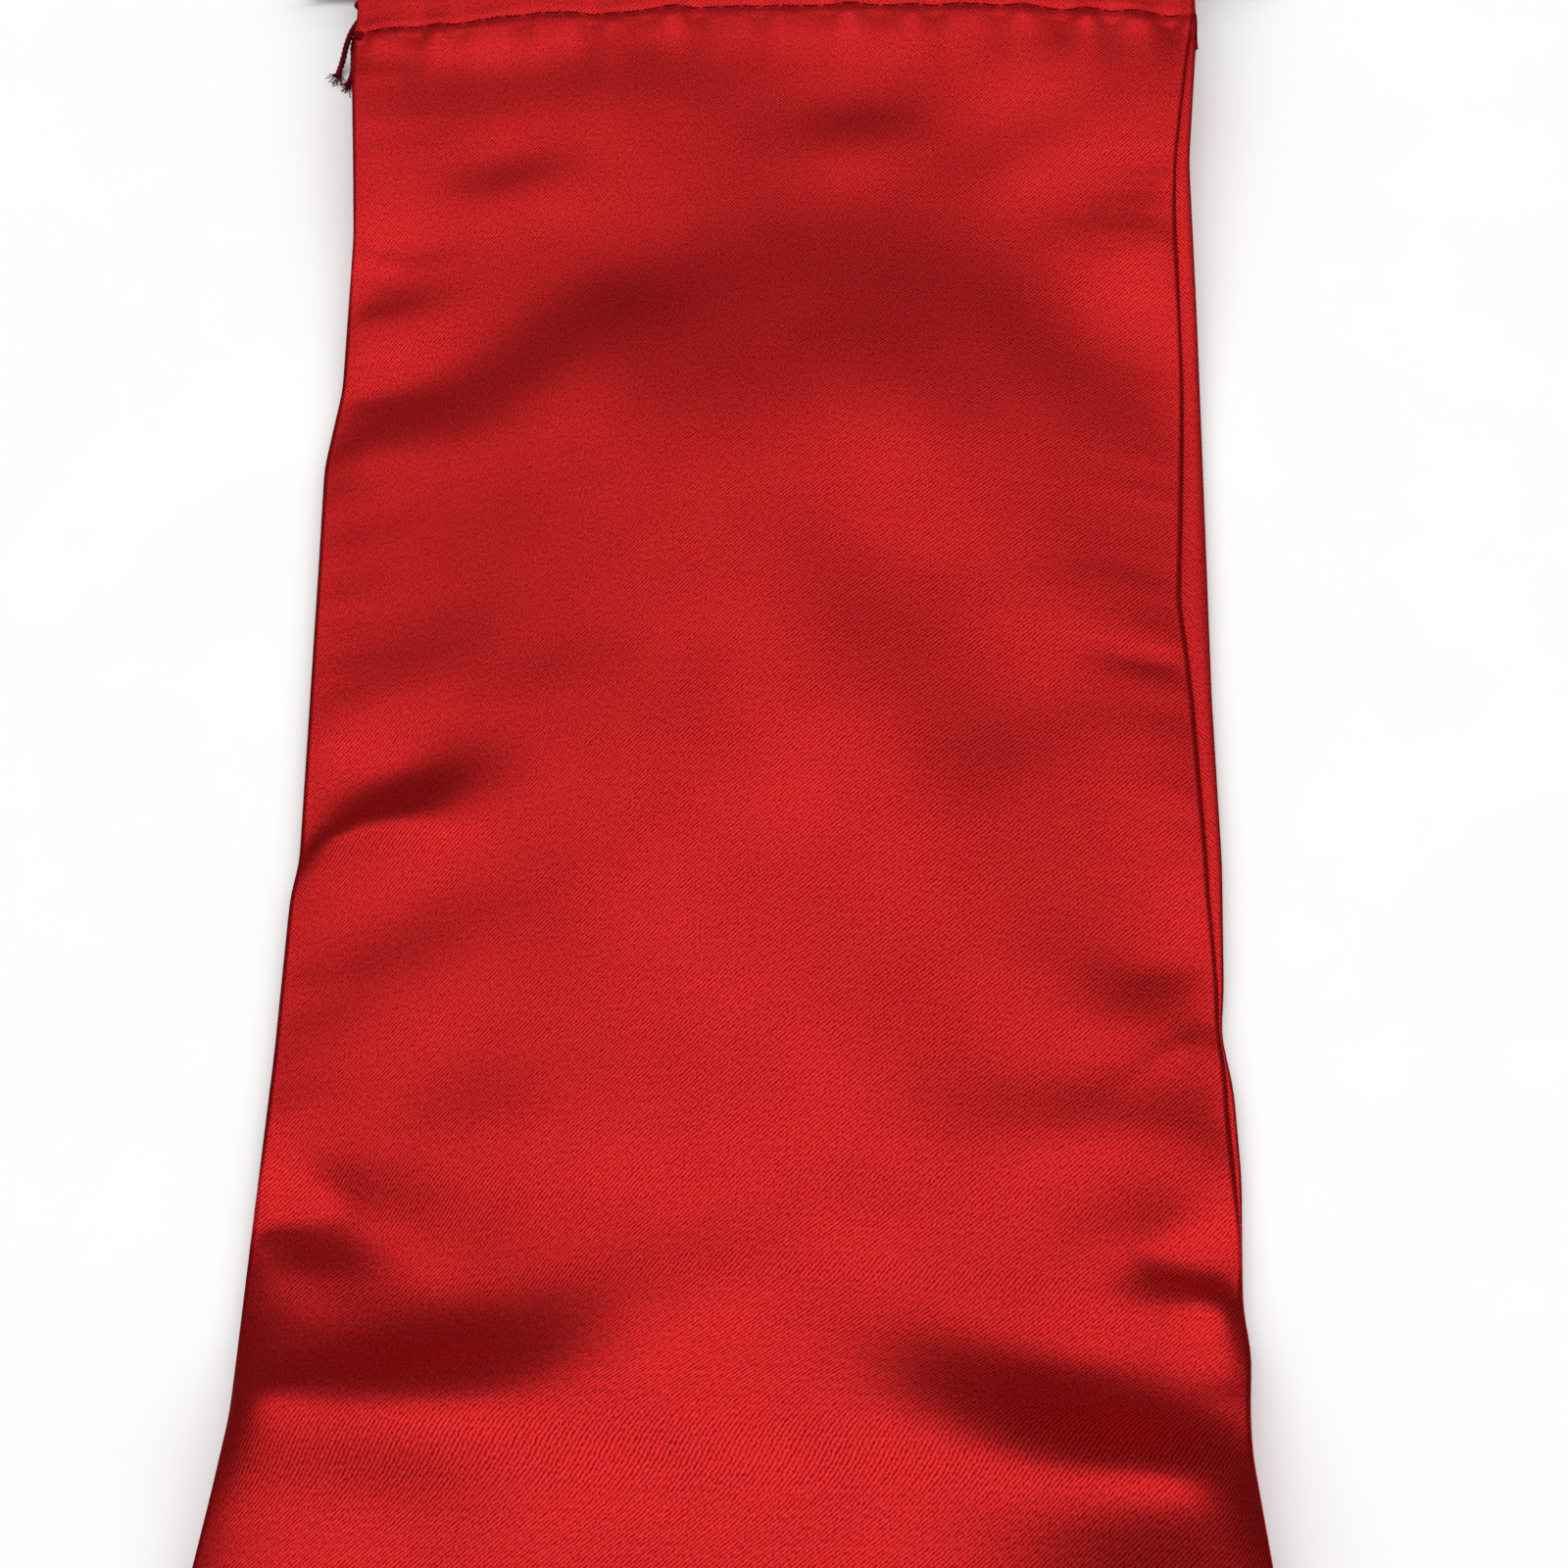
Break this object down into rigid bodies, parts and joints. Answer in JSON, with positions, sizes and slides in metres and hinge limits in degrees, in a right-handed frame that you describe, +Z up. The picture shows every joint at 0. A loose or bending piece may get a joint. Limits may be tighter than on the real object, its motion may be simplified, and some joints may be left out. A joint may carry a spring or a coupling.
{
  "type": "fabric gift sack",
  "caption": "Satin drawstring gift sack laid flat, with a stitched casing, knotted cords that pull out of its side slits and a free header that lifts to open the mouth.",
  "frame": {"origin": "centre of the sack's underside, on the surface it lies on", "axes": "+X across the sack, +Y from the bottom seam to the mouth, +Z up from the surface"},
  "size_m": [0.1752, 0.36, 0.022],
  "materials": {
    "satin": "red satin with a fine diagonal weave",
    "satin_inside": "matt back of the red satin",
    "thread": "dark red sewing thread",
    "drawstring": "dark burgundy twisted cord"
  },
  "bodies": {
    "sack": {"back_panel": "satin", "front_panel": "satin", "front_facing": "satin_inside", "back_facing": "satin_inside", "left_seam_allowance": "satin_inside", "right_seam_allowance": "satin_inside", "bottom_seam_allowance": "satin_inside", "left_overlock": "thread", "right_overlock": "thread", "bottom_overlock": "thread", "left_seam_stitching": "thread", "right_seam_stitching": "thread", "bottom_seam_stitching": "thread", "front_lower_stitching": "thread", "front_upper_stitching": "thread", "back_lower_stitching": "thread", "back_upper_stitching": "thread", "left_bar_tack": "thread", "right_bar_tack": "thread"},
    "header": {"front_header": "satin"},
    "left_cord": {"left_drawstring": "drawstring", "left_drawstring_knot": "drawstring"},
    "right_cord": {"right_drawstring": "drawstring", "right_drawstring_knot": "drawstring"}
  },
  "joints": [
    {"name": "front_header_fold", "type": "hinge", "parent": "sack", "child": "header", "pos_m": [0, 0.155, 0.0112], "axis": [1, 0, 0], "range_deg": [0, 75]},
    {"name": "left_drawstring_pull", "type": "slide", "parent": "sack", "child": "left_cord", "axis": [-1, 0, 0], "range_m": [0, 0.008]},
    {"name": "right_drawstring_pull", "type": "slide", "parent": "sack", "child": "right_cord", "axis": [1, 0, 0], "range_m": [0, 0.008]}
  ]
}
